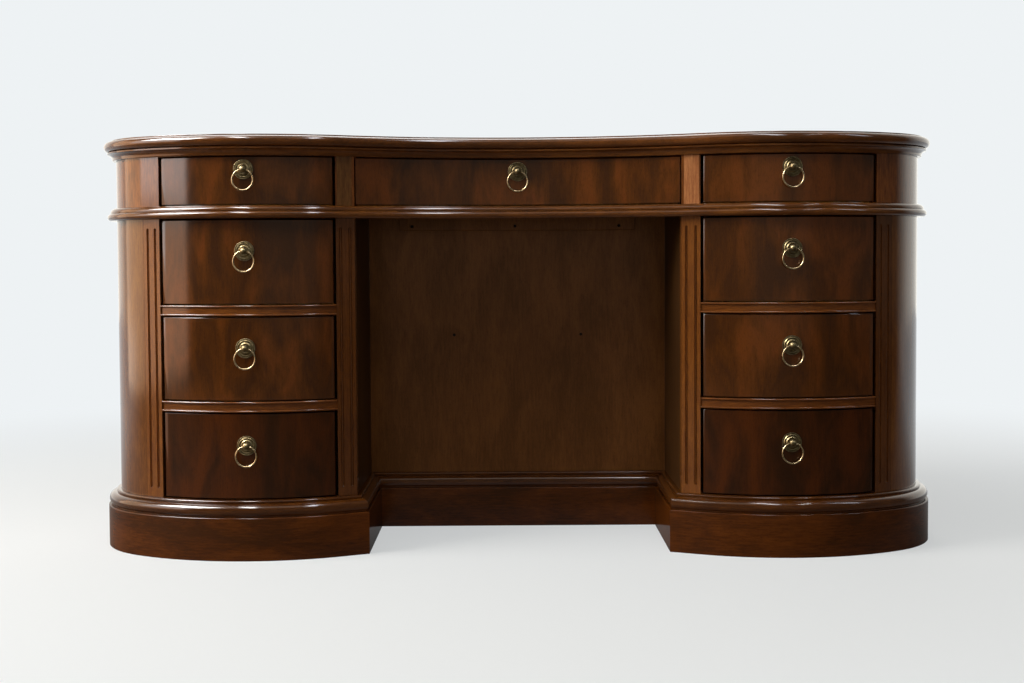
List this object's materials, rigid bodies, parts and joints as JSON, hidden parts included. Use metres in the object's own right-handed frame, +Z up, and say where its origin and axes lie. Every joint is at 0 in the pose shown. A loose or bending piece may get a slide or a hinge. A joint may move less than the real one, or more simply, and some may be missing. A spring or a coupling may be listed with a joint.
{
  "type": "kidney desk",
  "caption": "Kidney-shaped mahogany pedestal desk with bowed drawers, brass ring pulls, a hollow-fronted kneehole and an open bookcase at the back.",
  "frame": {"origin": "on the floor, under the middle of the desk's outline seen from above", "axes": "+Z up, the drawers and the kneehole face -Y, and +X is to the right in a view of the front"},
  "size_m": [1.5686, 0.7044, 0.76],
  "materials": {
    "top_mahogany": "glossy lacquer",
    "moulding_mahogany": "glossy lacquer",
    "frieze_mahogany": "glossy lacquer",
    "drawer_front_mahogany": "glossy lacquer over figured veneer",
    "stile_mahogany": "glossy lacquer",
    "rail_mahogany": "glossy lacquer",
    "panel_mahogany": "satin lacquer over veneer",
    "plinth_mahogany": "satin lacquer",
    "inside_mahogany": "thin satin lacquer",
    "drawer_lining": "bare sanded hardwood",
    "rosette_brass": "aged, dark in the grooves",
    "ring_brass": "aged, rubbed bright"
  },
  "bodies": {
    "carcass": {"base_board": "inside_mahogany", "bookcase_shelf": "inside_mahogany", "cove_moulding": "moulding_mahogany", "desk_top": "top_mahogany", "frieze_deck": "inside_mahogany", "frieze_frame": "frieze_mahogany", "kneehole_panel": "panel_mahogany", "left_cheek": "inside_mahogany", "left_divider_1": "rail_mahogany", "left_divider_2": "rail_mahogany", "left_end_panel": "panel_mahogany", "left_inner_stile": "stile_mahogany", "left_outer_stile": "stile_mahogany", "panel_batten": "inside_mahogany", "plinth": "plinth_mahogany", "plinth_moulding": "moulding_mahogany", "right_cheek": "inside_mahogany", "right_divider_1": "rail_mahogany", "right_divider_2": "rail_mahogany", "right_end_panel": "panel_mahogany", "right_inner_stile": "stile_mahogany", "right_outer_stile": "stile_mahogany", "waist_moulding": "moulding_mahogany"},
    "left_frieze_drawer": {"left_frieze_drawer_front": "drawer_front_mahogany", "left_frieze_drawer_box": "drawer_lining", "left_frieze_drawer_pull_plate": "rosette_brass"},
    "left_frieze_drawer_ring": {"left_frieze_drawer_pull_ring": "ring_brass"},
    "left_drawer_1": {"left_drawer_1_front": "drawer_front_mahogany", "left_drawer_1_box": "drawer_lining", "left_drawer_1_pull_plate": "rosette_brass"},
    "left_drawer_1_ring": {"left_drawer_1_pull_ring": "ring_brass"},
    "left_drawer_2": {"left_drawer_2_front": "drawer_front_mahogany", "left_drawer_2_box": "drawer_lining", "left_drawer_2_pull_plate": "rosette_brass"},
    "left_drawer_2_ring": {"left_drawer_2_pull_ring": "ring_brass"},
    "left_drawer_3": {"left_drawer_3_front": "drawer_front_mahogany", "left_drawer_3_box": "drawer_lining", "left_drawer_3_pull_plate": "rosette_brass"},
    "left_drawer_3_ring": {"left_drawer_3_pull_ring": "ring_brass"},
    "right_frieze_drawer": {"right_frieze_drawer_front": "drawer_front_mahogany", "right_frieze_drawer_box": "drawer_lining", "right_frieze_drawer_pull_plate": "rosette_brass"},
    "right_frieze_drawer_ring": {"right_frieze_drawer_pull_ring": "ring_brass"},
    "right_drawer_1": {"right_drawer_1_front": "drawer_front_mahogany", "right_drawer_1_box": "drawer_lining", "right_drawer_1_pull_plate": "rosette_brass"},
    "right_drawer_1_ring": {"right_drawer_1_pull_ring": "ring_brass"},
    "right_drawer_2": {"right_drawer_2_front": "drawer_front_mahogany", "right_drawer_2_box": "drawer_lining", "right_drawer_2_pull_plate": "rosette_brass"},
    "right_drawer_2_ring": {"right_drawer_2_pull_ring": "ring_brass"},
    "right_drawer_3": {"right_drawer_3_front": "drawer_front_mahogany", "right_drawer_3_box": "drawer_lining", "right_drawer_3_pull_plate": "rosette_brass"},
    "right_drawer_3_ring": {"right_drawer_3_pull_ring": "ring_brass"},
    "centre_drawer": {"centre_drawer_front": "drawer_front_mahogany", "centre_drawer_box": "drawer_lining", "centre_drawer_pull_plate": "rosette_brass"},
    "centre_drawer_ring": {"centre_drawer_pull_ring": "ring_brass"}
  },
  "joints": [
    {"name": "left_frieze_drawer_slide", "type": "slide", "parent": "carcass", "child": "left_frieze_drawer", "axis": [0, -1, 0], "range_m": [0, 0.28]},
    {"name": "left_frieze_drawer_ring_swing", "type": "hinge", "parent": "left_frieze_drawer", "child": "left_frieze_drawer_ring", "pos_m": [-0.48879, -0.3363, 0.6975], "axis": [-1, 0, 0], "range_deg": [-8, 110]},
    {"name": "left_drawer_1_slide", "type": "slide", "parent": "carcass", "child": "left_drawer_1", "axis": [0, -1, 0], "range_m": [0, 0.28]},
    {"name": "left_drawer_1_ring_swing", "type": "hinge", "parent": "left_drawer_1", "child": "left_drawer_1_ring", "pos_m": [-0.48879, -0.3363, 0.5525], "axis": [-1, 0, 0], "range_deg": [-8, 110]},
    {"name": "left_drawer_2_slide", "type": "slide", "parent": "carcass", "child": "left_drawer_2", "axis": [0, -1, 0], "range_m": [0, 0.28]},
    {"name": "left_drawer_2_ring_swing", "type": "hinge", "parent": "left_drawer_2", "child": "left_drawer_2_ring", "pos_m": [-0.48879, -0.3363, 0.37875], "axis": [-1, 0, 0], "range_deg": [-8, 110]},
    {"name": "left_drawer_3_slide", "type": "slide", "parent": "carcass", "child": "left_drawer_3", "axis": [0, -1, 0], "range_m": [0, 0.28]},
    {"name": "left_drawer_3_ring_swing", "type": "hinge", "parent": "left_drawer_3", "child": "left_drawer_3_ring", "pos_m": [-0.48879, -0.3363, 0.204], "axis": [-1, 0, 0], "range_deg": [-8, 110]},
    {"name": "right_frieze_drawer_slide", "type": "slide", "parent": "carcass", "child": "right_frieze_drawer", "axis": [0, -1, 0], "range_m": [0, 0.28]},
    {"name": "right_frieze_drawer_ring_swing", "type": "hinge", "parent": "right_frieze_drawer", "child": "right_frieze_drawer_ring", "pos_m": [0.48879, -0.3363, 0.6975], "axis": [-1, 0, 0], "range_deg": [-8, 110]},
    {"name": "right_drawer_1_slide", "type": "slide", "parent": "carcass", "child": "right_drawer_1", "axis": [0, -1, 0], "range_m": [0, 0.28]},
    {"name": "right_drawer_1_ring_swing", "type": "hinge", "parent": "right_drawer_1", "child": "right_drawer_1_ring", "pos_m": [0.48879, -0.3363, 0.5525], "axis": [-1, 0, 0], "range_deg": [-8, 110]},
    {"name": "right_drawer_2_slide", "type": "slide", "parent": "carcass", "child": "right_drawer_2", "axis": [0, -1, 0], "range_m": [0, 0.28]},
    {"name": "right_drawer_2_ring_swing", "type": "hinge", "parent": "right_drawer_2", "child": "right_drawer_2_ring", "pos_m": [0.48879, -0.3363, 0.37875], "axis": [-1, 0, 0], "range_deg": [-8, 110]},
    {"name": "right_drawer_3_slide", "type": "slide", "parent": "carcass", "child": "right_drawer_3", "axis": [0, -1, 0], "range_m": [0, 0.28]},
    {"name": "right_drawer_3_ring_swing", "type": "hinge", "parent": "right_drawer_3", "child": "right_drawer_3_ring", "pos_m": [0.48879, -0.3363, 0.204], "axis": [-1, 0, 0], "range_deg": [-8, 110]},
    {"name": "centre_drawer_slide", "type": "slide", "parent": "carcass", "child": "centre_drawer", "axis": [0, -1, 0], "range_m": [0, 0.28]},
    {"name": "centre_drawer_ring_swing", "type": "hinge", "parent": "centre_drawer", "child": "centre_drawer_ring", "pos_m": [0, -0.22351, 0.6975], "axis": [-1, 0, 0], "range_deg": [-8, 110]}
  ]
}
